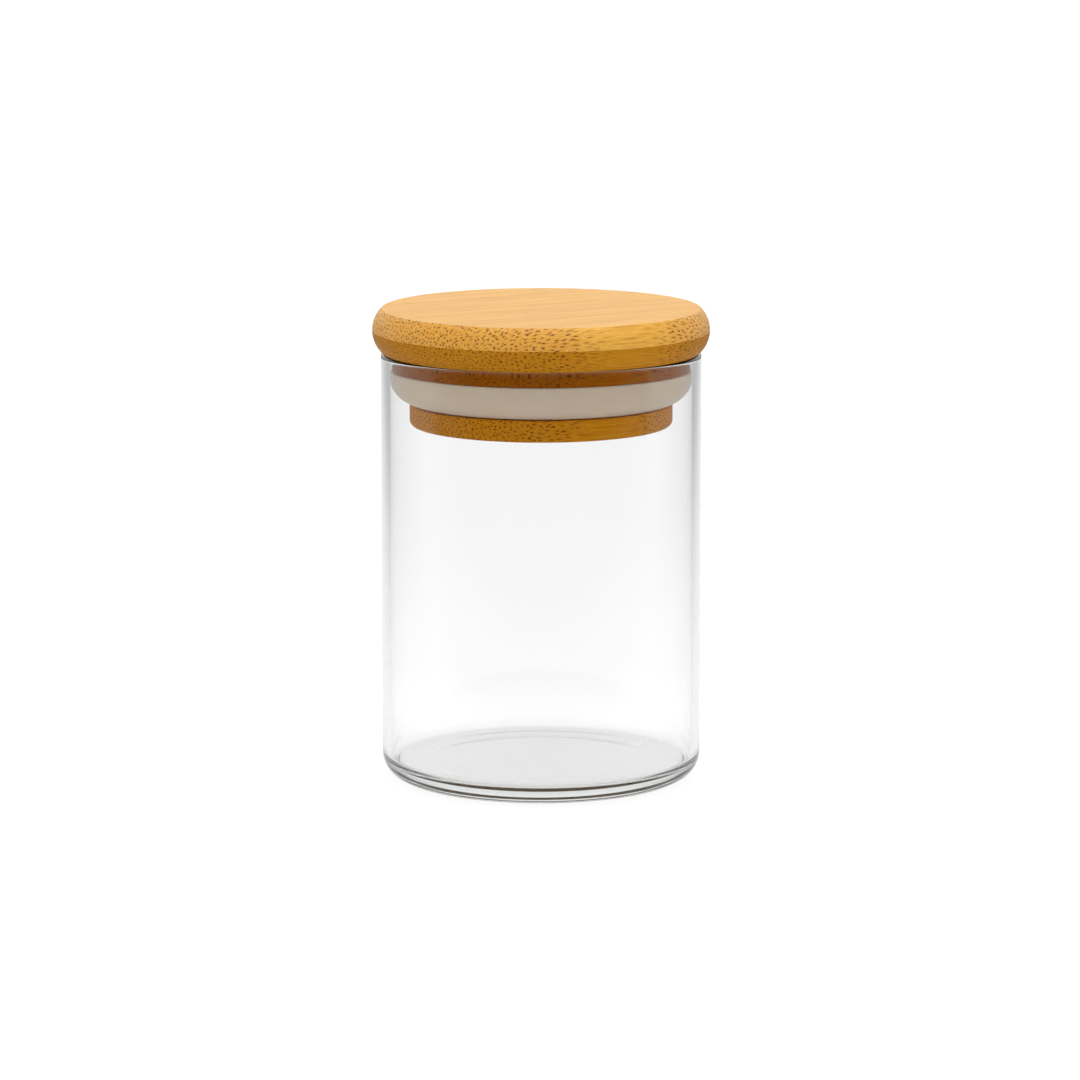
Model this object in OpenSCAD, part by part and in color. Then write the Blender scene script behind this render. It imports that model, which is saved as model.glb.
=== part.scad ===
// Lidded glass canister: a blown borosilicate jar, a lid turned from laminated bamboo, and the
// silicone ring in the lid's groove that seals it in the jar's mouth.
// Millimetres, Z up. The origin is the centre of the base, on the surface that the jar stands on.
// The bamboo's grain runs along X.

/* [Jar] */
// Outer diameter of the wall
jar_d = 65; // [54:0.5:90]
// Height from the surface that it stands on to the top of the rim
jar_h = 87.5; // [50:0.5:160]
// Thickness of the wall
wall_t = 1.8; // [1.4:0.1:2.6]
// Thickness of the floor
floor_t = 3.8; // [3:0.1:6]
// Outer radius of the heel, where the wall turns under
heel_r = 5.1; // [4:0.1:6]
// Inner radius of the corner between the wall and the floor
corner_r = 1.5; // [1:0.1:4]
// Width of the flat ring that the jar stands on
stand_w = 4; // [2:0.5:8]
// Depth of the shallow hollow under the base
hollow_h = 0.5; // [0.2:0.1:1.5]

/* [Lid] */
// How far the cap stands out past the jar's wall
cap_overhang = 1.7; // [0.5:0.1:5]
// Thickness of the cap
cap_t = 8.8; // [6.5:0.1:14]
// How far the cap's edge swells out past its flat faces
cap_bulge = 1.95; // [0.5:0.05:3.2]
// Height of the bare collar between the cap and the seal
collar_h = 3.2; // [2:0.1:6]
// Thickness of the foot disc under the seal
foot_h = 4.5; // [3:0.1:8]
// Radius of the foot disc's lower edge
foot_edge_r = 1.2; // [0.5:0.1:2.5]

/* [Seal] */
// Height of the silicone ring
seal_h = 7; // [4:0.1:10]
// Height of the straight band at its top, which presses on the wall
band_h = 1.3; // [0.6:0.1:3]
// Width of the flat at its bottom, between the rounded edge and the bore
seal_land = 1.35; // [0.5:0.05:3]

/* [Bamboo] */
// Width of one bamboo strip
strip_w = 18; // [15:0.5:20]

/* [Clearances] */
// Gap between the rim and the cap above it
rim_gap = 0.05; // [0.02:0.01:0.5]
// Gap all round between the collar and the wall
collar_gap = 0.5; // [0.2:0.05:2]
// Gap all round between the foot disc and the wall
foot_gap = 4; // [1:0.1:6]
// Gap all round between the seal and the wall
seal_gap = 0.1; // [0.05:0.01:0.3]
// Play of the seal on every side of its groove
seal_play = 0.05; // [0.02:0.01:0.1]

/* [Hidden] */
$fn = 144;
// How far a cutting shape reaches past what it cuts
past = 1;

// Radii of the jar
jar_r = jar_d / 2;
bore_r = jar_r - wall_t;
stand_r = jar_r - heel_r;
hollow_r = stand_r - stand_w;

// Radii of the lid and the seal, all from the jar's bore
cap_r = jar_r + cap_overhang;
collar_r = bore_r - collar_gap;
foot_r = bore_r - foot_gap;
seal_r = bore_r - seal_gap;
seal_edge_r = seal_h - band_h;
seal_bore_r = seal_r - seal_edge_r - seal_land;
core_r = seal_bore_r - seal_play;

// Heights of the lid and the seal, all from the jar's rim
cap_z = jar_h + rim_gap;
collar_z = cap_z - collar_h;
seal_z = collar_z - seal_play - seal_h;
foot_top_z = seal_z - seal_play;
foot_z = foot_top_z - foot_h;
top_z = cap_z + cap_t;

// The plies of bamboo, from the top down: name, number of strips, bottom and top.
// The cap and the plug under it are two boards of two plies each, glued at the cap's underside.
cap_seam_z = cap_z + cap_t / 2;
plug_seam_z = (foot_z + cap_z) / 2;
PLIES = [
    ["cap_top_strip_", 4, cap_seam_z, top_z],
    ["cap_lower_strip_", 5, cap_z, cap_seam_z],
    ["collar_strip_", 4, plug_seam_z, cap_z],
    ["foot_strip_", 3, foot_z, plug_seam_z]
];

function strip_name(ply, number) = str(ply[0], number);

// Half of a disc's section, with its lower and upper corners rounded
module disc_section(r, h, low_r = 0, high_r = 0) {
    difference() {
        square([r, h]);
        if (low_r > 0) corner_cut(r, 0, low_r, 1);
        if (high_r > 0) corner_cut(r, h, high_r, -1);
    }
}

// What rounding takes off a corner at [r, z], where the section lies above (1) or below (-1) it
module corner_cut(r, z, round_r, side) {
    translate([r, z]) scale([1, side]) difference() {
        translate([-round_r, -past]) square(round_r + past);
        translate([-round_r, round_r]) circle(round_r);
    }
}

// Half of a shallow dome's section, standing on the line z = 0
module dome_section(r, h) {
    dome_r = (r * r + h * h) / (2 * h);
    intersection() {
        translate([0, h - dome_r]) circle(dome_r, $fn = 720);
        square([r + past, h + past]);
    }
}

module glass_jar() {
    rim_r = wall_t / 2;
    color([0.88, 0.93, 0.92, 0.35]) rotate_extrude() {
        difference() {
            disc_section(jar_r, jar_h - rim_r, low_r = heel_r);
            translate([0, floor_t]) disc_section(bore_r, jar_h, low_r = corner_r);
            dome_section(hollow_r, hollow_h);
        }
        // The floor rises over the hollow, so that the glass stays as thick there
        intersection() {
            translate([0, floor_t - past]) square([hollow_r, past + hollow_h]);
            translate([0, floor_t]) union() {
                dome_section(hollow_r, hollow_h);
                translate([0, -past]) square([hollow_r, past]);
            }
        }
        translate([jar_r - rim_r, jar_h - rim_r]) circle(rim_r);
    }
}

module silicone_seal() {
    color("#BDAD99") translate([0, 0, seal_z]) rotate_extrude() difference() {
        disc_section(seal_r, seal_h, low_r = seal_edge_r);
        translate([0, -past]) square([seal_bore_r, seal_h + 2 * past]);
    }
}

// Half of the section of the cap, whose edge is one arc from face to face
module cap_section() {
    half_t = cap_t / 2;
    edge_r = (cap_bulge * cap_bulge + half_t * half_t) / (2 * cap_bulge);
    square([cap_r - cap_bulge, cap_t]);
    intersection() {
        translate([cap_r - edge_r, half_t]) circle(edge_r);
        square([cap_r, cap_t]);
    }
}

// The cap board as it is turned, before it is told apart into its strips
module cap_board() {
    translate([0, 0, cap_z]) rotate_extrude() cap_section();
}

// The plug board as it is turned: the collar, the seal's groove and the foot disc
module plug_board() {
    translate([0, 0, foot_z]) rotate_extrude() {
        disc_section(foot_r, foot_h, low_r = foot_edge_r);
        square([core_r, cap_z - foot_z]);
        translate([0, collar_z - foot_z]) square([collar_r, collar_h]);
    }
}

// One strip: its share of its board. The outermost strips run on to the board's edge.
module lid_strip(ply, number) {
    count = ply[1];
    reach = cap_r + past;
    low_y = number == 1 ? -reach : (number - 1 - count / 2) * strip_w;
    high_y = number == count ? reach : (number - count / 2) * strip_w;
    color(number % 2 == 0 ? "#D9A865" : "#E3B678") intersection() {
        if (ply[2] < cap_z) plug_board();
        else cap_board();
        translate([-reach, low_y, ply[2]]) cube([2 * reach, high_y - low_y, ply[3] - ply[2]]);
    }
}

glass_jar();
silicone_seal();
for (ply = PLIES, number = [1 : ply[1]])
    lid_strip(ply, number);
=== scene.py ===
"""Lidded glass canister: a blown jar, a lid turned from laminated bamboo and its silicone ring.

The pieces' sizes are millimetres in this file and metres in the meshes. The studio's sizes and the
depths in the finishes are metres. The bamboo's grain runs along X.
"""
import logging
import math
from dataclasses import dataclass, field
from enum import Enum
from typing import Any

import bmesh
import bpy
import numpy as np
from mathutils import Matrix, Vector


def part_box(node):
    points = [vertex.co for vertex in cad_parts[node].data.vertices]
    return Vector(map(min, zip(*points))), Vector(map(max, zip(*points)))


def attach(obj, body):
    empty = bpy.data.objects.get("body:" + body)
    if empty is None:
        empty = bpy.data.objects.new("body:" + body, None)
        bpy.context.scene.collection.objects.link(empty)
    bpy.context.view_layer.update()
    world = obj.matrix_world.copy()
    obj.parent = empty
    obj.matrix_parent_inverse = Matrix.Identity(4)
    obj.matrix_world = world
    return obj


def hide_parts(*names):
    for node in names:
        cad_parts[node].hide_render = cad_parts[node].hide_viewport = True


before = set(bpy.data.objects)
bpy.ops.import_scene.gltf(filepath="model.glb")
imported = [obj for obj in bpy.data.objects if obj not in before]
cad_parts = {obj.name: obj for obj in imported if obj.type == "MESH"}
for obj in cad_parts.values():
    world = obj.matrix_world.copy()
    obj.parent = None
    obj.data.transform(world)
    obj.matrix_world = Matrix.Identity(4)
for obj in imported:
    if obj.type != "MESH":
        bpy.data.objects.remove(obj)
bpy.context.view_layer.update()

LOG = logging.getLogger("canister")
MM = 0.001
PER_MM = 1 / MM

# Points closer together than this are one: in an outline, in millimetres, and in a mesh, in metres.
OUTLINE_GAP = 1e-6
MESH_GAP = 2e-7
SHORTEST_EDGE = 1e-7

# Settings that several nodes share.
SMOOTH = {"interpolation_type": "SMOOTHSTEP"}
COLOURS = {"data_type": "RGBA"}
NUMBERS = {"data_type": "FLOAT"}
TIMES = {"operation": "MULTIPLY"}
TIMES_PLUS = {"operation": "MULTIPLY_ADD"}
ACROSS_GRAIN = {"voronoi_dimensions": "2D"}


# ---------------------------------------------------------------------------------------------
# Colours and nodes


def linear(code: str, alpha: float = 1.0) -> tuple[float, float, float, float]:
    """Turn an sRGB hex code to a linear colour.

    Args:
        code: The colour, such as "#C99447".
        alpha: The fourth channel, left as it is.

    Returns:
        Linear red, green and blue, and alpha.
    """
    values = np.array([int(code[i : i + 2], 16) for i in (1, 3, 5)]) / 255
    low, high = values / 12.92, ((values + 0.055) / 1.055) ** 2.4
    return (*np.where(values <= 0.04045, low, high).tolist(), alpha)


def add_node(
    tree: bpy.types.NodeTree,
    kind: str,
    settings: dict[str, Any] | None = None,
    inputs: dict[str | int, Any] | None = None,
) -> bpy.types.Node:
    """Add a node to a tree.

    Args:
        tree: The node tree.
        kind: The node's type name.
        settings: Its properties, by name.
        inputs: Its inputs, by name or number: an output socket to link, or a value.

    Returns:
        The new node.
    """
    made = tree.nodes.new(kind)
    for name, value in (settings or {}).items():
        setattr(made, name, value)
    for key, value in (inputs or {}).items():
        if isinstance(value, bpy.types.NodeSocket):
            tree.links.new(value, made.inputs[key])
        else:
            made.inputs[key].default_value = value
    return made


def new_material(name: str) -> bpy.types.Material:
    """Make a material with an empty node tree."""
    made = bpy.data.materials.new(name)
    made.use_nodes = True
    made.node_tree.nodes.clear()
    return made


# ---------------------------------------------------------------------------------------------
# Surfaces as whole arrays


def arc(centre: tuple[float, float], radius: float, start: float, end: float, steps: int) -> np.ndarray:
    """Points on an arc: centre + radius * (cos a, sin a), with a going evenly from start to end.

    Args:
        centre: The arc's centre, as distance from the axis and height.
        radius: Its radius.
        start: First angle in degrees, from the outward direction.
        end: Last angle in degrees.
        steps: Number of points.

    Returns:
        Array of steps rows, each a distance from the axis and a height.
    """
    angle = np.radians(np.linspace(start, end, steps))
    return np.column_stack([centre[0] + radius * np.cos(angle), centre[1] + radius * np.sin(angle)])


def stretch(first: tuple[float, float], last: tuple[float, float], steps: int) -> np.ndarray:
    """Points on a straight line from first to last, closer together towards both ends.

    Args:
        first: First point.
        last: Last point.
        steps: Number of points.

    Returns:
        Array of steps rows of two.
    """
    share = (1 - np.cos(np.linspace(0, math.pi, steps))) / 2
    return np.array(first) + share[:, None] * (np.array(last) - np.array(first))


def joined(*parts: np.ndarray) -> np.ndarray:
    """Join stretches of an outline, dropping each point that repeats the one before it."""
    points = np.vstack(parts)
    moved = np.linalg.norm(np.diff(points, axis=0), axis=1) > OUTLINE_GAP
    return points[np.concatenate([[True], moved])]


def grid_faces(rows: int, columns: int, wrap_rows: bool) -> np.ndarray:
    """Four-cornered faces of a grid whose columns wrap round.

    Args:
        rows: Number of rows of vertices.
        columns: Number of columns of vertices.
        wrap_rows: Whether the last row joins the first one too.

    Returns:
        Array of faces, each of four vertex numbers.
    """
    row = np.arange(rows if wrap_rows else rows - 1)[:, None]
    column = np.arange(columns)[None, :]
    above, beside = (row + 1) % rows, (column + 1) % columns
    corners = [
        row * columns + column,
        row * columns + beside,
        above * columns + beside,
        above * columns + column,
    ]
    return np.stack(np.broadcast_arrays(*corners), axis=-1).reshape(-1, 4)


def make_piece(
    name: str, points: np.ndarray, faces: list[list[int]], sharp: float = 180.0,
) -> bpy.types.Object:
    """Make an object from points in millimetres.

    Args:
        name: The object's name.
        points: Array of points, one row each.
        faces: The faces, as lists of point numbers.
        sharp: Edges that turn by more than this many degrees are shaded as edges.

    Returns:
        The object, at the origin, unturned and unscaled.
    """
    mesh = bpy.data.meshes.new(name)
    mesh.from_pydata((points * MM).tolist(), [], faces)
    shell = bmesh.new()
    shell.from_mesh(mesh)
    bmesh.ops.remove_doubles(shell, verts=shell.verts, dist=MESH_GAP)
    bmesh.ops.dissolve_degenerate(shell, edges=shell.edges, dist=SHORTEST_EDGE)
    bmesh.ops.recalc_face_normals(shell, faces=shell.faces)
    shell.to_mesh(mesh)
    shell.free()
    mesh.shade_smooth()
    if sharp < 180:
        mesh.set_sharp_from_angle(angle=math.radians(sharp))
    piece = bpy.data.objects.new(name, mesh)
    bpy.context.scene.collection.objects.link(piece)
    return piece


def revolved(name: str, outline: np.ndarray, segments: int, ring: bool = False) -> bpy.types.Object:
    """Turn an outline round the axis: x = r cos a, y = r sin a, and z stays.

    Args:
        name: The object's name.
        outline: Rows of distance from the axis and height.
        segments: Number of steps round the axis.
        ring: Whether the outline is a loop. If not, its two ends are on the axis and become poles.

    Returns:
        The object.
    """
    angle = np.linspace(0, 2 * math.pi, segments, endpoint=False)
    body = outline if ring else outline[1:-1]
    radius, height = body[:, :1], body[:, 1:]
    grid = np.stack([radius * np.cos(angle), radius * np.sin(angle), height + 0 * angle], axis=-1)
    faces = grid_faces(len(body), segments, ring).tolist()
    points = grid.reshape(-1, 3)
    if not ring:
        around = np.arange(segments)
        beside = (around + 1) % segments
        last = (len(body) - 1) * segments
        low, high = len(points), len(points) + 1
        points = np.vstack([points, [0, 0, outline[0, 1]], [0, 0, outline[-1, 1]]])
        faces += np.column_stack([around, np.full(segments, low), beside]).tolist()
        faces += np.column_stack([last + beside, np.full(segments, high), last + around]).tolist()
    return make_piece(name, points, faces)


# ---------------------------------------------------------------------------------------------
# Finishes


@dataclass(frozen=True)
class BlownBorosilicate:
    """Clear borosilicate glass, blown and fire-polished: perfectly smooth, with a trace of green-grey
    that shows only where the eye looks along the glass."""

    ior: float = 1.473
    tint: str = "#B2BEB8"
    tint_density: float = 7.0

    def material(self) -> bpy.types.Material:
        """Build the material."""
        made = new_material("borosilicate_glass_fire_polished")
        tree = made.node_tree
        shader = add_node(tree, "ShaderNodeBsdfPrincipled", inputs={
            "Base Color": (1, 1, 1, 1), "Roughness": 0.0, "IOR": self.ior, "Transmission Weight": 1.0,
        })
        depth = add_node(tree, "ShaderNodeVolumeAbsorption", inputs={
            "Color": linear(self.tint), "Density": self.tint_density,
        })
        add_node(tree, "ShaderNodeOutputMaterial", inputs={
            "Surface": shader.outputs["BSDF"], "Volume": depth.outputs["Volume"],
        })
        return made


@dataclass(frozen=True)
class MouldedSilicone:
    """Food-grade silicone rubber, compression moulded: warm off-white, satin, a little light enters it.

    Clouds and grain are features to the millimetre.
    """

    colour: str = "#F8E5CC"
    cloud_colour: str = "#F0DAC0"
    clouds: float = 0.18
    grain: float = 2.5
    relief_depth: float = 0.00003
    roughness: float = 0.42
    ior: float = 1.41
    glow_depth: float = 0.0015

    def material(self) -> bpy.types.Material:
        """Build the material."""
        made = new_material("moulded_silicone_satin")
        tree = made.node_tree
        place = add_node(tree, "ShaderNodeTexCoord").outputs["Object"]
        cloud = add_node(tree, "ShaderNodeTexNoise", inputs={
            "Vector": place, "Scale": self.clouds * PER_MM, "Detail": 3.0,
        })
        tone = add_node(tree, "ShaderNodeMix", COLOURS, {
            "Factor": cloud.outputs["Fac"], 6: linear(self.colour), 7: linear(self.cloud_colour),
        })
        grain = add_node(tree, "ShaderNodeTexNoise", inputs={
            "Vector": place, "Scale": self.grain * PER_MM, "Detail": 2.0,
        })
        relief = add_node(tree, "ShaderNodeBump", inputs={
            "Strength": 0.15, "Distance": self.relief_depth, "Height": grain.outputs["Fac"],
        })
        shader = add_node(tree, "ShaderNodeBsdfPrincipled", inputs={
            "Base Color": tone.outputs[2], "Roughness": self.roughness, "IOR": self.ior,
            "Subsurface Weight": 0.15, "Subsurface Scale": self.glow_depth,
            "Subsurface Radius": (1.0, 0.7, 0.5), "Normal": relief.outputs["Normal"],
        })
        add_node(tree, "ShaderNodeOutputMaterial", inputs={"Surface": shader.outputs["BSDF"]})
        return made


class Shade(Enum):
    """The shades of bamboo that lie over its ground colour."""

    LIGHT = "light"
    DEEP = "deep"
    DARK = "dark"


@dataclass(frozen=True)
class WoodTones:
    """The colours of one ply, and its fibre bundles.

    A bundle shows as a dark dot in a cell with a lighter border. Spacing is in millimetres, dot is the
    dot's radius as a share of the spacing, web is how light the border is and gloss is the lacquer's.
    """

    ground: str
    deep: str
    light: str
    dark: str
    spacing: float
    dot: float
    web: float
    gloss: float

    def colour(self, shade: Shade) -> tuple[float, float, float, float]:
        """Give the linear colour of a shade."""
        return linear(getattr(self, shade.value))


@dataclass(frozen=True)
class Fibres:
    """Fibres of one thickness, in a shade that differs from the wood between them.

    Lengthwise and crosswise are features to the millimetre. The fibres show where a noise goes from
    start to end, and take up to most of the ground colour away.
    """

    lengthwise: float
    crosswise: float
    start: float
    end: float
    most: float
    shade: Shade


@dataclass(frozen=True)
class LacqueredBamboo:
    """One strip of laminated bamboo, turned, sanded and clear lacquered.

    The fibre bundles are a two-dimensional cell pattern across the grain that carries on along it,
    so they show as dots on the end grain and as streaks on the face grain. End grain drinks more
    lacquer, which makes it deeper in colour.

    Drift and unevenness are how far the fibres wander, in millimetres, and their pitches are features
    to the millimetre. How squarely the surface cuts the grain goes from 0 to 1: the dots and webs
    grow to their full strength from cut_start to cut_full, and the lacquer to soak at soak_full.
    The relief shows the fibres whose number is raised_fibres, counted from 0.
    """

    name: str
    tones: WoodTones
    shift: tuple[float, float, float]
    roughness: float = 0.45
    lacquer_roughness: float = 0.22
    relief_depth: float = 0.00016
    fibre_relief: float = 0.35
    soak: float = 0.5
    soak_full: float = 0.15
    cut_start: float = 0.01
    cut_full: float = 0.12
    dot_core: float = 0.5
    dot_faint: float = 0.25
    dot_strong: float = 0.95
    palest_dot: float = 0.45
    web_width: float = 0.22
    web_faint: float = 0.4
    drift: float = 1.5
    drift_pitch: tuple[float, float, float] = (0.015, 0.1, 0.1)
    unevenness: float = 0.45
    uneven_pitch: tuple[float, float, float] = (0.3, 2.6, 2.6)
    fibres: tuple[Fibres, ...] = (
        Fibres(0.02, 0.45, 0.35, 0.65, 0.55, Shade.DEEP),
        Fibres(0.07, 3.4, 0.4, 0.7, 0.45, Shade.LIGHT),
        Fibres(0.08, 6.0, 0.42, 0.66, 0.5, Shade.DEEP),
        Fibres(0.09, 1.7, 0.6, 0.72, 0.3, Shade.DEEP),
        Fibres(0.14, 2.6, 0.66, 0.76, 0.4, Shade.DARK),
    )
    raised_fibres: int = 1

    def material(self) -> bpy.types.Material:
        """Build the material."""
        made = new_material(self.name)
        tree = made.node_tree
        place = add_node(tree, "ShaderNodeTexCoord")
        grain = self.grain(tree, place.outputs["Object"])
        facing = add_node(tree, "ShaderNodeSeparateXYZ", inputs={"Vector": place.outputs["Normal"]})
        end_grain = add_node(tree, "ShaderNodeMath", TIMES, {
            0: facing.outputs["X"], 1: facing.outputs["X"],
        }).outputs[0]
        soaked = add_node(tree, "ShaderNodeMapRange", SMOOTH, {
            "Value": end_grain, "From Min": 0.0, "From Max": self.soak_full,
            "To Min": 0.0, "To Max": self.soak,
        }).outputs[0]
        dots, webs = self.bundles(tree, grain, end_grain)
        colour, fine = self.fibred(tree, grain)
        for share, shade in ((soaked, Shade.DEEP), (webs, Shade.LIGHT), (dots, Shade.DARK)):
            colour = add_node(tree, "ShaderNodeMix", COLOURS, {
                "Factor": share, 6: colour, 7: self.tones.colour(shade),
            }).outputs[2]
        raised = add_node(tree, "ShaderNodeMath", TIMES_PLUS, {0: fine, 1: self.fibre_relief, 2: webs})
        height = add_node(tree, "ShaderNodeMath", {"operation": "SUBTRACT"}, {
            0: raised.outputs[0], 1: dots,
        })
        relief = add_node(tree, "ShaderNodeBump", inputs={
            "Strength": 1.0, "Distance": self.relief_depth, "Height": height.outputs[0],
        }).outputs["Normal"]
        shader = add_node(tree, "ShaderNodeBsdfPrincipled", inputs={
            "Base Color": colour, "Roughness": self.roughness, "Normal": relief,
            "Specular IOR Level": self.tones.gloss, "Coat Weight": self.tones.gloss,
            "Coat Roughness": self.lacquer_roughness, "Coat Normal": relief,
        })
        add_node(tree, "ShaderNodeOutputMaterial", inputs={"Surface": shader.outputs["BSDF"]})
        return made

    def grain(self, tree: bpy.types.NodeTree, place: bpy.types.NodeSocket) -> bpy.types.NodeSocket:
        """Turn a place into millimetres on this strip's own stem, whose fibres drift a little sideways.

        Args:
            tree: The tree to add the nodes to.
            place: The place on the object.

        Returns:
            The place on the stem.
        """
        stem = add_node(tree, "ShaderNodeMapping", {"vector_type": "POINT"}, {
            "Vector": place, "Location": self.shift, "Scale": (PER_MM, PER_MM, PER_MM),
        }).outputs[0]
        slow = add_node(tree, "ShaderNodeVectorMath", TIMES, {0: stem, 1: self.drift_pitch})
        noise = add_node(tree, "ShaderNodeTexNoise", inputs={
            "Vector": slow.outputs[0], "Scale": 1.0, "Detail": 1.0, "Roughness": 0.5,
        })
        return add_node(tree, "ShaderNodeVectorMath", TIMES_PLUS, {
            0: noise.outputs["Color"], 1: (0, self.drift, self.drift), 2: stem,
        }).outputs[0]

    def bundles(
        self, tree: bpy.types.NodeTree, grain: bpy.types.NodeSocket, end_grain: bpy.types.NodeSocket,
    ) -> tuple[bpy.types.NodeSocket, bpy.types.NodeSocket]:
        """Add the fibre bundles, strong on the end grain and faint along it.

        Args:
            tree: The tree to add the nodes to.
            grain: The place on the stem.
            end_grain: How squarely the surface cuts the grain, from 0 to 1.

        Returns:
            The share of the dots and the share of the borders between the cells.
        """
        tones = self.tones
        close = add_node(tree, "ShaderNodeVectorMath", TIMES, {0: grain, 1: self.uneven_pitch})
        uneven = add_node(tree, "ShaderNodeTexNoise", inputs={
            "Vector": close.outputs[0], "Scale": 1.0, "Detail": 2.0, "Roughness": 0.6,
        })
        placed = add_node(tree, "ShaderNodeVectorMath", TIMES_PLUS, {
            0: uneven.outputs["Color"], 1: (0, self.unevenness, self.unevenness), 2: grain,
        })
        axes = add_node(tree, "ShaderNodeSeparateXYZ", inputs={"Vector": placed.outputs[0]})
        across = add_node(tree, "ShaderNodeCombineXYZ", inputs={
            "X": axes.outputs["Y"], "Y": axes.outputs["Z"],
        })
        cells = {"Vector": across.outputs[0], "Scale": 1 / tones.spacing, "Randomness": 1.0}
        centre = add_node(tree, "ShaderNodeTexVoronoi", ACROSS_GRAIN, cells)
        border = add_node(tree, "ShaderNodeTexVoronoi", ACROSS_GRAIN | {"feature": "DISTANCE_TO_EDGE"}, cells)
        chance = add_node(tree, "ShaderNodeSeparateColor", inputs={"Color": centre.outputs["Color"]})
        strength = add_node(tree, "ShaderNodeMapRange", inputs={
            "Value": chance.outputs[0], "From Min": 0.0, "From Max": 1.0,
            "To Min": self.palest_dot, "To Max": 1.0,
        }).outputs[0]
        dot_core, web_faint = tones.dot * self.dot_core, tones.web * self.web_faint
        shares = []
        for distance, inner, outer, faint, strong, own in (
            (centre.outputs["Distance"], dot_core, tones.dot, self.dot_faint, self.dot_strong, strength),
            (border.outputs["Distance"], 0.0, self.web_width, web_faint, tones.web, 1.0),
        ):
            spot = add_node(tree, "ShaderNodeMapRange", SMOOTH, {
                "Value": distance, "From Min": inner, "From Max": outer, "To Min": 1.0, "To Max": 0.0,
            })
            depth = add_node(tree, "ShaderNodeMapRange", SMOOTH, {
                "Value": end_grain, "From Min": self.cut_start, "From Max": self.cut_full,
                "To Min": faint, "To Max": strong,
            })
            shown = add_node(tree, "ShaderNodeMath", TIMES, {0: spot.outputs[0], 1: depth.outputs[0]})
            shares.append(add_node(tree, "ShaderNodeMath", TIMES, {0: shown.outputs[0], 1: own}).outputs[0])
        return shares[0], shares[1]

    def fibred(
        self, tree: bpy.types.NodeTree, grain: bpy.types.NodeSocket,
    ) -> tuple[bpy.types.NodeSocket, bpy.types.NodeSocket]:
        """Lay the fibres over the ground colour, in their order.

        Args:
            tree: The tree to add the nodes to.
            grain: The place on the stem.

        Returns:
            The colour, and the noise of the fibres that stand out in the relief.
        """
        colour: Any = linear(self.tones.ground)
        noises = []
        for fibres in self.fibres:
            drawn = add_node(tree, "ShaderNodeVectorMath", TIMES, {
                0: grain, 1: (fibres.lengthwise, fibres.crosswise, fibres.crosswise),
            })
            noise = add_node(tree, "ShaderNodeTexNoise", inputs={
                "Vector": drawn.outputs[0], "Scale": 1.0, "Detail": 3.0, "Roughness": 0.6,
            }).outputs["Fac"]
            share = add_node(tree, "ShaderNodeMapRange", SMOOTH, {
                "Value": noise, "From Min": fibres.start, "From Max": fibres.end,
                "To Min": 0.0, "To Max": fibres.most,
            })
            colour = add_node(tree, "ShaderNodeMix", COLOURS, {
                "Factor": share.outputs[0], 6: colour, 7: self.tones.colour(fibres.shade),
            }).outputs[2]
            noises.append(noise)
        return colour, noises[self.raised_fibres]


# ---------------------------------------------------------------------------------------------
# Sub-assemblies


@dataclass
class GlassJar:
    """The blown jar: one closed surface from the middle of the base, over the rim, to the floor."""

    wall: float = 1.8
    floor: float = 3.8
    heel_radius: float = 5.1
    corner_radius: float = 1.5
    stand_width: float = 4.0
    hollow: float = 0.5
    segments: int = 320

    def outline(self) -> np.ndarray:
        """Work out the section, from the pole under the base to the pole on the floor.

        It goes over the hollow under the base, the flat that the jar stands on, the round heel, the
        wall, the half-round rim, the bore, the round corner and the floor, which is domed as the hollow
        is. A dome of half width w and rise h is an arc of radius (w^2 + h^2) / 2h. The last number of
        each stretch and arc, here and below, is its number of points.

        Returns:
            Rows of distance from the axis and height.
        """
        _, high = (np.array(corner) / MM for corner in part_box("glass_jar"))
        outer, rim_z = high[0], high[2]
        bore, rim_radius = outer - self.wall, self.wall / 2
        stand = outer - self.heel_radius
        hollow_edge = stand - self.stand_width
        dome = (hollow_edge**2 + self.hollow**2) / (2 * self.hollow)
        dome_end = math.degrees(math.acos(hollow_edge / dome))
        corner = self.corner_radius
        under = arc((0, self.hollow - dome), dome, 90, dome_end, 24)
        over = arc((0, self.floor + self.hollow - dome), dome, dome_end, 90, 24)
        return joined(
            under,
            stretch((hollow_edge, 0), (stand, 0), 6),
            arc((stand, self.heel_radius), self.heel_radius, -90, 0, 28),
            stretch((outer, self.heel_radius), (outer, rim_z - rim_radius), 24),
            arc((outer - rim_radius, rim_z - rim_radius), rim_radius, 0, 180, 28),
            stretch((bore, rim_z - rim_radius), (bore, self.floor + corner), 24),
            arc((bore - corner, self.floor + corner), corner, 0, -90, 22),
            stretch((bore - corner, self.floor), (hollow_edge, self.floor), 6),
            over,
        )

    def build(self, finish: BlownBorosilicate) -> bpy.types.Object:
        """Build the jar and put it on its body."""
        piece = revolved("jar_glass", self.outline(), self.segments)
        piece.data.materials.append(finish.material())
        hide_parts("glass_jar")
        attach(piece, "jar")
        return piece


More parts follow.
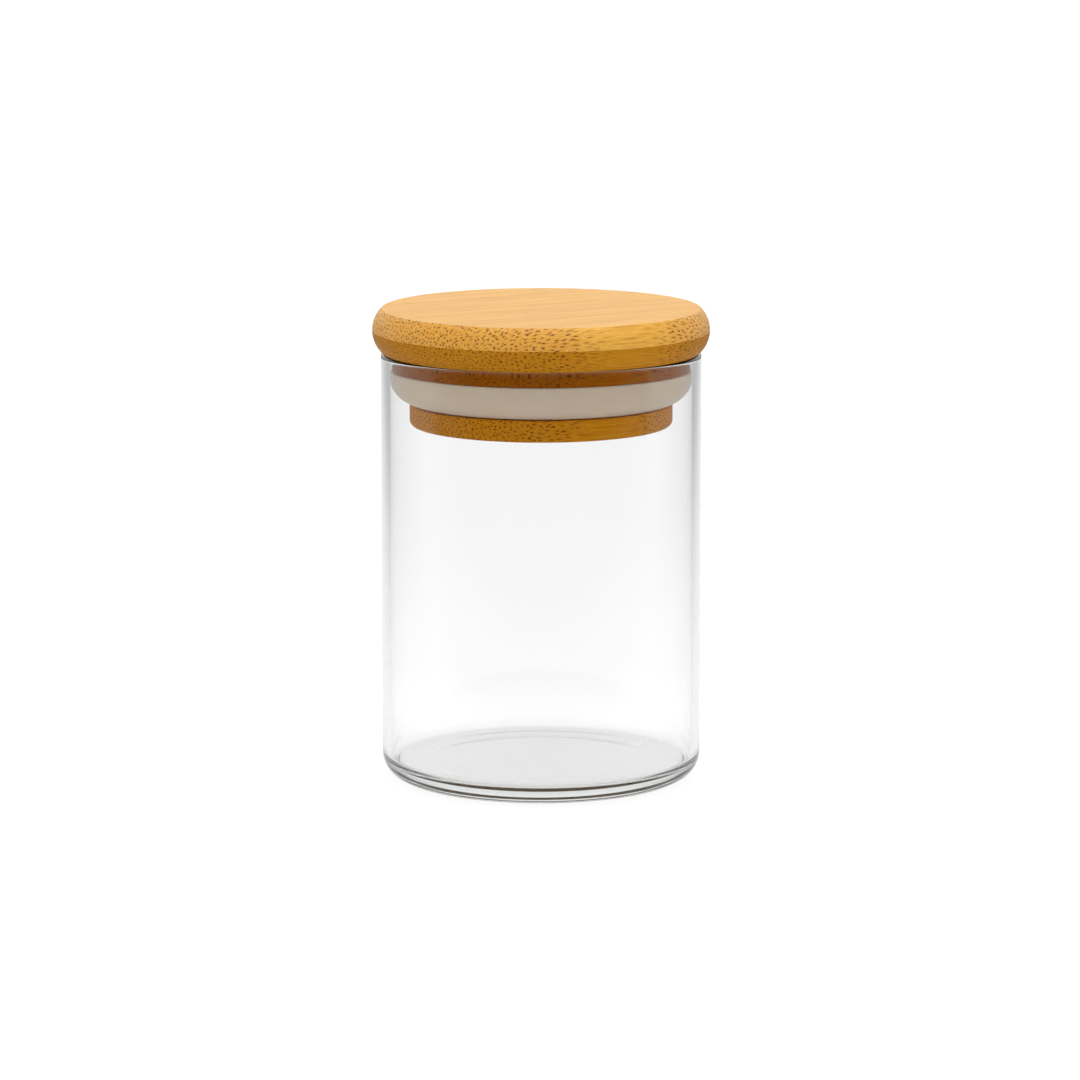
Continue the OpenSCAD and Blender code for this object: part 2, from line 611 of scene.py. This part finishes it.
@dataclass
class SealingRing:
    """The silicone ring: a straight band over a rounded lower edge, in the lid's groove.

    Closing is how far the loop's last point stops short of its first one.
    """

    band_height: float = 1.3
    land: float = 1.35
    top_radius: float = 0.35
    closing: float = 0.01
    segments: int = 288

    def outline(self) -> np.ndarray:
        """Work out the section as a loop.

        It goes along the flat bottom, up the round lower edge, whose radius is the height that the
        band leaves, up the band, over the soft top edge, along the top and down the bore.

        Returns:
            Rows of distance from the axis and height.
        """
        low, high = (np.array(corner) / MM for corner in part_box("silicone_seal"))
        outer, bottom, top = high[0], low[2], high[2]
        edge = top - bottom - self.band_height
        bore = outer - edge - self.land
        soft = self.top_radius
        return joined(
            stretch((bore, bottom), (outer - edge, bottom), 5),
            arc((outer - edge, bottom + edge), edge, -90, 0, 40),
            stretch((outer, bottom + edge), (outer, top - soft), 4),
            arc((outer - soft, top - soft), soft, 0, 90, 8),
            stretch((outer - soft, top), (bore + soft, top), 6),
            stretch((bore, top - soft), (bore, bottom + self.closing), 4),
        )

    def build(self, finish: MouldedSilicone) -> bpy.types.Object:
        """Build the ring and put it on its body."""
        piece = revolved("sealing_ring", self.outline(), self.segments, ring=True)
        piece.data.materials.append(finish.material())
        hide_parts("silicone_seal")
        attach(piece, "seal")
        return piece


class Ply(Enum):
    """The four plies of the lid: node name and number of strips."""

    CAP_TOP = ("cap_top_strip", 4)
    CAP_LOWER = ("cap_lower_strip", 5)
    COLLAR = ("collar_strip", 4)
    FOOT = ("foot_strip", 3)


@dataclass
class BambooLid:
    """The turned lid, built strip by strip from the section of its board.

    Play is the seal's, in its groove. Each strip is cut from its own place on the stem: the next one
    in a ply lies further on by strips_apart, and the next ply by plies_apart, in millimetres.
    """

    cap_bulge: float = 1.95
    arris: float = 0.3
    collar_height: float = 3.2
    foot_height: float = 4.5
    foot_edge: float = 1.2
    play: float = 0.05
    rows: int = 44
    sharp_angle: float = 35.0
    strips_apart: tuple[float, float, float] = (37.0, 5.3, 7.9)
    plies_apart: tuple[float, float, float] = (11.0, 3.1, 0.0)
    tones: dict[Ply, WoodTones] = field(default_factory=lambda: {
        Ply.CAP_TOP: WoodTones("#DEA536", "#CC841C", "#F0C468", "#74420C", 0.74, 0.27, 0.28, 0.22),
        # The lower cap ply's colours are darker than the top ply's: painted shade for the lower half of the
        # cap's edge, which faces down.
        Ply.CAP_LOWER: WoodTones("#B67812", "#A4680A", "#D89C2C", "#64390A", 0.64, 0.25, 0.16, 0.04),
        Ply.COLLAR: WoodTones("#B06404", "#9E5602", "#C67A14", "#5A2E02", 0.66, 0.22, 0.12, 0.02),
        Ply.FOOT: WoodTones("#E09010", "#CC7E08", "#F0B038", "#74450A", 0.7, 0.26, 0.28, 0.02),
    })

    def section(self, ply: Ply) -> np.ndarray:
        """Work out the half section of one ply, from its bottom on the axis to its top on the axis.

        The collar is a disc with a narrower core below it. The foot is a disc with a round lower edge
        and a soft upper one, with the core on top of it.

        Args:
            ply: The ply.

        Returns:
            Rows of distance from the axis and height. The distance rises and then falls.
        """
        low, high = self.ply_box(ply)
        bottom, top = low[2], high[2]
        cap_low, cap_high = self.ply_box(Ply.CAP_LOWER)[0][2], self.ply_box(Ply.CAP_TOP)[1][2]
        if ply in (Ply.CAP_TOP, Ply.CAP_LOWER):
            return self.cap_section(ply, bottom, top, cap_low, cap_high)
        if ply is Ply.COLLAR:
            collar = high[0]
            under = cap_low - self.collar_height
            core = self.core_radius()
            return joined(
                stretch((0, bottom), (core, bottom), 14),
                stretch((core, bottom), (core, under), 8),
                stretch((core, under), (collar, under), 8),
                stretch((collar, under), (collar, top), 10),
                stretch((collar, top), (0, top), 14),
            )
        foot, core, soft = high[0], self.core_radius(), self.foot_edge
        foot_top = bottom + self.foot_height
        return joined(
            stretch((0, bottom), (foot - soft, bottom), 16),
            arc((foot - soft, bottom + soft), soft, -90, 0, 14),
            stretch((foot, bottom + soft), (foot, foot_top - self.arris), 6),
            arc((foot - self.arris, foot_top - self.arris), self.arris, 0, 90, 6),
            stretch((foot - self.arris, foot_top), (core, foot_top), 8),
            stretch((core, foot_top), (core, top), 5),
            stretch((core, top), (0, top), 14),
        )

    def cap_section(self, ply: Ply, bottom: float, top: float, cap_low: float, cap_high: float) -> np.ndarray:
        """Work out the cap's half section, whose edge is one arc from face to face with a soft arris.

        With b the bulge and h half the cap's height, the arc's radius is (b^2 + h^2) / 2b.

        Args:
            ply: Which half of the cap.
            bottom: The ply's bottom.
            top: The ply's top.
            cap_low: The cap's underside.
            cap_high: The cap's top face.

        Returns:
            Rows of distance from the axis and height.
        """
        widest = self.ply_box(Ply.CAP_TOP)[1][0]
        half = (cap_high - cap_low) / 2
        edge = (self.cap_bulge**2 + half**2) / (2 * self.cap_bulge)
        middle = cap_low + half
        centre = widest - edge
        reach = edge - self.arris
        arris_z = half - self.arris
        turn = math.degrees(math.asin(arris_z / reach))
        arris_r = centre + reach * math.cos(math.radians(turn))
        if ply is Ply.CAP_TOP:
            return joined(
                stretch((0, bottom), (widest, bottom), 16),
                arc((centre, middle), edge, 0, turn, 26),
                arc((arris_r, cap_high - self.arris), self.arris, turn, 90, 8),
                stretch((arris_r, cap_high), (0, cap_high), 26),
            )
        return joined(
            stretch((0, bottom), (arris_r, bottom), 26),
            arc((arris_r, cap_low + self.arris), self.arris, -90, -turn, 8),
            arc((centre, middle), edge, -turn, 0, 26),
            stretch((widest, top), (0, top), 16),
        )

    def ply_box(self, ply: Ply) -> tuple[np.ndarray, np.ndarray]:
        """Give a ply's lowest and highest corners in millimetres, from its strips."""
        boxes = [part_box(f"{ply.value[0]}_{number + 1}") for number in range(ply.value[1])]
        corners = np.array([[list(low), list(high)] for low, high in boxes]) / MM
        return corners[:, 0].min(axis=0), corners[:, 1].max(axis=0)

    def core_radius(self) -> float:
        """Give the radius of the groove's bottom, a little inside the ring's bore."""
        ring = SealingRing()
        low, high = (np.array(corner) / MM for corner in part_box("silicone_seal"))
        edge = high[2] - low[2] - ring.band_height
        return high[0] - edge - ring.land - self.play

    def strip(self, ply: Ply, number: int) -> bpy.types.Object:
        """Build one strip.

        At each place y across the grain the board's section is cut by a plane along the grain, where
        a point at distance r from the axis lies at x = sqrt(r^2 - y^2). The strip is the loop of those
        points, at both signs of x, carried from one seam to the other, with y = R sin a and a even.

        Args:
            ply: The ply that it belongs to.
            number: Its number, from 1.

        Returns:
            The object.
        """
        node = f"{ply.value[0]}_{number}"
        low, high = (np.array(corner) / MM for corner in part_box(node))
        outline = self.section(ply)
        widest = outline[:, 0].max()
        turn_low, turn_high = (math.asin(max(-1.0, min(1.0, edge / widest))) for edge in (low[1], high[1]))
        count = ply.value[1]
        turn_low = -math.pi / 2 if number == 1 else turn_low
        turn_high = math.pi / 2 if number == count else turn_high
        across = widest * np.sin(np.linspace(turn_low, turn_high, self.rows))
        length = np.concatenate([[0], np.cumsum(np.linalg.norm(np.diff(outline, axis=0), axis=1))])
        peak = int(outline[:, 0].argmax())
        last_peak = len(outline) - 1 - int(outline[::-1, 0].argmax())
        first = np.interp(np.abs(across), outline[: peak + 1, 0], length[: peak + 1])
        final = np.interp(-np.abs(across), -outline[last_peak:, 0], length[last_peak:])
        along = np.clip(length[None, :], first[:, None], final[:, None])
        radius = np.interp(along, length, outline[:, 0])
        height = np.interp(along, length, outline[:, 1])
        side = np.sqrt(np.maximum(radius**2 - across[:, None] ** 2, 0))
        side[:, 0] = side[:, -1] = 0
        x = np.hstack([side, -side[:, -2:0:-1]])
        z = np.hstack([height, height[:, -2:0:-1]])
        y = np.broadcast_to(across[:, None], x.shape)
        columns = x.shape[1]
        points = np.stack([x, y, z], axis=-1).reshape(-1, 3)
        faces = grid_faces(len(across), columns, False).tolist()
        seam = np.arange(columns)
        if number > 1:
            faces.append(seam[::-1].tolist())
        if number < count:
            faces.append((seam + (len(across) - 1) * columns).tolist())
        return make_piece(f"{node}_wood", points, faces, sharp=self.sharp_angle)

    def build(self) -> list[bpy.types.Object]:
        """Build every strip, dress it and put it on the lid's body."""
        pieces = []
        for order, ply in enumerate(Ply):
            for number in range(1, ply.value[1] + 1):
                piece = self.strip(ply, number)
                steps = zip(self.strips_apart, self.plies_apart)
                shift = tuple(number * strip + order * step for strip, step in steps)
                name = f"laminated_bamboo_{ply.value[0]}_{number}"
                finish = LacqueredBamboo(name, self.tones[ply], shift)
                piece.data.materials.append(finish.material())
                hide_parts(f"{ply.value[0]}_{number}")
                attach(piece, "lid")
                pieces.append(piece)
        return pieces


class Way(Enum):
    """Ways in which places and directions are measured, as the camera sees them."""

    AHEAD = "away from the camera"
    ASIDE = "to either side"
    UP = "up"


@dataclass(frozen=True)
class Falloff:
    """Brightness that goes smoothly from low to high as a measure goes from start to end."""

    way: Way
    start: float
    end: float
    low: float
    high: float


@dataclass
class Studio:
    """A pale floor, soft light from all round and a long lens a little above the jar.

    Clear glass in a room that is white on every side can't be seen. So what the glass mirrors, at its
    faces or inside them, is a real studio: bright behind the jar, and dimmer to the sides and round
    the camera. What is seen straight on or through the glass is even.
    """

    distance: float = 1.0
    height: float = 0.2244
    tilt: float = 9.97
    turn: float = 31.0
    lens: float = 165.93
    sensor: float = 36.0
    framing: float = -0.001
    nearest: float = 0.01
    farthest: float = 100.0
    floor_radius: float = 12.0
    floor_corners: int = 96
    air_film: float = 0.00015
    floor_tone: float = 0.4
    floor_glow: float = 0.62
    seen_tone: float = 0.12
    seen_glow: float = 0.92
    floor_bounce: float = 0.9
    bounces: int = 40
    clear_bounces: int = 16
    plain_floor: tuple[Falloff, ...] = (Falloff(Way.AHEAD, 0.04, 0.12, 1.0, 0.9),)
    mirrored_floor: tuple[Falloff, ...] = (
        Falloff(Way.ASIDE, 0.02, 0.35, 1.0, 0.5),
        Falloff(Way.AHEAD, -0.13, -0.033, 0.28, 1.0),
        Falloff(Way.AHEAD, -0.4, -0.18, 0.1, 1.0),
    )
    plain_walls: tuple[Falloff, ...] = (Falloff(Way.AHEAD, -0.9, -0.1, 0.85, 0.9),)
    mirrored_walls: tuple[Falloff, ...] = (
        Falloff(Way.AHEAD, -0.5, 0.3, 0.06, 1.0),
        Falloff(Way.AHEAD, 0.5, 0.95, 0.45, 1.0),
    )
    light_box: tuple[Falloff, ...] = (Falloff(Way.UP, 0.86, 0.94, 0.0, 2.6),)

    def build_camera(self) -> bpy.types.Object:
        """Put the camera in front of the jar, turned round it by turn degrees towards -X."""
        data = bpy.data.cameras.new("camera")
        data.lens, data.sensor_width, data.shift_x = self.lens, self.sensor, self.framing
        data.clip_start, data.clip_end = self.nearest, self.farthest
        camera = bpy.data.objects.new("camera", data)
        turn = math.radians(self.turn)
        camera.location = (-self.distance * math.sin(turn), -self.distance * math.cos(turn), self.height)
        camera.rotation_euler = (math.radians(90 - self.tilt), 0, -turn)
        bpy.context.scene.collection.objects.link(camera)
        bpy.context.scene.camera = camera
        return camera

    def brightness(
        self, tree: bpy.types.NodeTree, place: bpy.types.NodeSocket, falloffs: tuple[Falloff, ...],
    ) -> bpy.types.NodeSocket:
        """Multiply falloffs together.

        Args:
            tree: The tree to add the nodes to.
            place: The place or direction that they measure.
            falloffs: The falloffs.

        Returns:
            The socket that holds the brightness.
        """
        turn = math.radians(self.turn)
        lines = {
            Way.AHEAD: (math.sin(turn), math.cos(turn), 0.0),
            Way.ASIDE: (math.cos(turn), -math.sin(turn), 0.0),
            Way.UP: (0.0, 0.0, 1.0),
        }
        total: Any = 1.0
        for falloff in falloffs:
            measure = add_node(tree, "ShaderNodeVectorMath", {"operation": "DOT_PRODUCT"}, {
                0: place, 1: lines[falloff.way],
            }).outputs["Value"]
            if falloff.way is Way.ASIDE:
                measure = add_node(tree, "ShaderNodeMath", {"operation": "ABSOLUTE"}, {0: measure}).outputs[0]
            share = add_node(tree, "ShaderNodeMapRange", SMOOTH, {
                "Value": measure, "From Min": falloff.start, "From Max": falloff.end,
                "To Min": falloff.low, "To Max": falloff.high,
            })
            total = add_node(tree, "ShaderNodeMath", TIMES, {0: total, 1: share.outputs[0]}).outputs[0]
        return total

    def choose(
        self, tree: bpy.types.NodeTree, plain: bpy.types.NodeSocket, mirrored: bpy.types.NodeSocket,
    ) -> bpy.types.NodeSocket:
        """Choose between two brightnesses by whether a glossy surface has mirrored the ray.

        Args:
            tree: The tree to add the nodes to.
            plain: Brightness for rays that no surface has mirrored.
            mirrored: Brightness for the others.

        Returns:
            The socket that holds the choice.
        """
        path = add_node(tree, "ShaderNodeLightPath")
        once = add_node(tree, "ShaderNodeMath", {"operation": "MINIMUM"}, {
            0: path.outputs["Glossy Depth"], 1: 1.0,
        })
        return add_node(tree, "ShaderNodeMix", NUMBERS, {
            "Factor": once.outputs[0], 2: plain, 3: mirrored,
        }).outputs[0]

    def floor_material(self) -> bpy.types.Material:
        """Build the floor's finish: a sheet of opal acrylic, matt, white and lit from below."""
        made = new_material("opal_acrylic_light_table")
        made.cycles.emission_sampling = "NONE"
        tree = made.node_tree
        place = add_node(tree, "ShaderNodeTexCoord").outputs["Object"]
        path = add_node(tree, "ShaderNodeLightPath")
        thrown = add_node(tree, "ShaderNodeMapRange", inputs={
            "Value": path.outputs["Is Diffuse Ray"], "From Min": 0.0, "From Max": 1.0,
            "To Min": 1.0, "To Max": self.floor_bounce,
        })
        plain = add_node(tree, "ShaderNodeMath", TIMES, {
            0: thrown.outputs[0], 1: self.brightness(tree, place, self.plain_floor),
        })
        share = self.choose(tree, plain.outputs[0], self.brightness(tree, place, self.mirrored_floor))
        parts = []
        for unseen, seen in ((self.floor_tone, self.seen_tone), (self.floor_glow, self.seen_glow)):
            dimmed = add_node(tree, "ShaderNodeMath", TIMES, {0: share, 1: unseen})
            parts.append(add_node(tree, "ShaderNodeMix", NUMBERS, {
                "Factor": path.outputs["Is Camera Ray"], 2: dimmed.outputs[0], 3: seen,
            }).outputs[0])
        shader = add_node(tree, "ShaderNodeBsdfPrincipled", inputs={
            "Base Color": parts[0], "Roughness": 1.0, "Specular IOR Level": 0.0,
            "Emission Color": (1, 1, 1, 1), "Emission Strength": parts[1],
        })
        add_node(tree, "ShaderNodeOutputMaterial", inputs={"Surface": shader.outputs["BSDF"]})
        return made

    def build_floor(self) -> bpy.types.Object:
        """Lay a round white floor, far wider than the view, with a film of air under the jar."""
        angle = np.linspace(0, 2 * math.pi, self.floor_corners, endpoint=False)
        rim = np.stack([np.cos(angle), np.sin(angle), 0 * angle], axis=-1) * self.floor_radius
        rim[:, 2] = -self.air_film
        mesh = bpy.data.meshes.new("floor")
        mesh.from_pydata(rim.tolist(), [], [list(range(self.floor_corners))])
        mesh.materials.append(self.floor_material())
        floor = bpy.data.objects.new("floor", mesh)
        bpy.context.scene.collection.objects.link(floor)
        return floor

    def build_light(self) -> None:
        """Light the scene from the world: white all round, brighter overhead, dimmer by the camera."""
        world = bpy.data.worlds.new("soft_studio")
        world.use_nodes = True
        tree = world.node_tree
        tree.nodes.clear()
        place = add_node(tree, "ShaderNodeTexCoord").outputs["Generated"]
        plain = self.brightness(tree, place, self.plain_walls)
        mirrored = self.brightness(tree, place, self.mirrored_walls)
        lit = add_node(tree, "ShaderNodeMath", {"operation": "ADD"}, {
            0: self.brightness(tree, place, self.light_box), 1: self.choose(tree, plain, mirrored),
        })
        path = add_node(tree, "ShaderNodeLightPath")
        shown = add_node(tree, "ShaderNodeMix", NUMBERS, {
            "Factor": path.outputs["Is Camera Ray"], 2: lit.outputs[0], 3: 1.0,
        })
        glow = add_node(tree, "ShaderNodeBackground", inputs={
            "Color": (1, 1, 1, 1), "Strength": shown.outputs[0],
        })
        add_node(tree, "ShaderNodeOutputWorld", inputs={"Surface": glow.outputs[0]})
        bpy.context.scene.world = world

    def build(self) -> None:
        """Build the camera, the floor and the light, with colours shown as they are."""
        self.build_camera()
        self.build_floor()
        self.build_light()
        scene = bpy.context.scene
        scene.view_settings.view_transform = "Standard"
        scene.cycles.transparent_max_bounces = self.clear_bounces
        scene.cycles.max_bounces = self.bounces
        scene.cycles.transmission_bounces = self.bounces
        scene.cycles.glossy_bounces = self.bounces


def main() -> None:
    """Build the studio and then the canister, and report each piece."""
    logging.basicConfig(level=logging.INFO, format="%(message)s")
    Studio().build()
    pieces = [GlassJar().build(BlownBorosilicate()), SealingRing().build(MouldedSilicone())]
    pieces += BambooLid().build()
    for piece in pieces:
        LOG.info("%s: %d faces, %s", piece.name, len(piece.data.polygons), piece.data.materials[0].name)


if __name__ == "__main__":
    main()
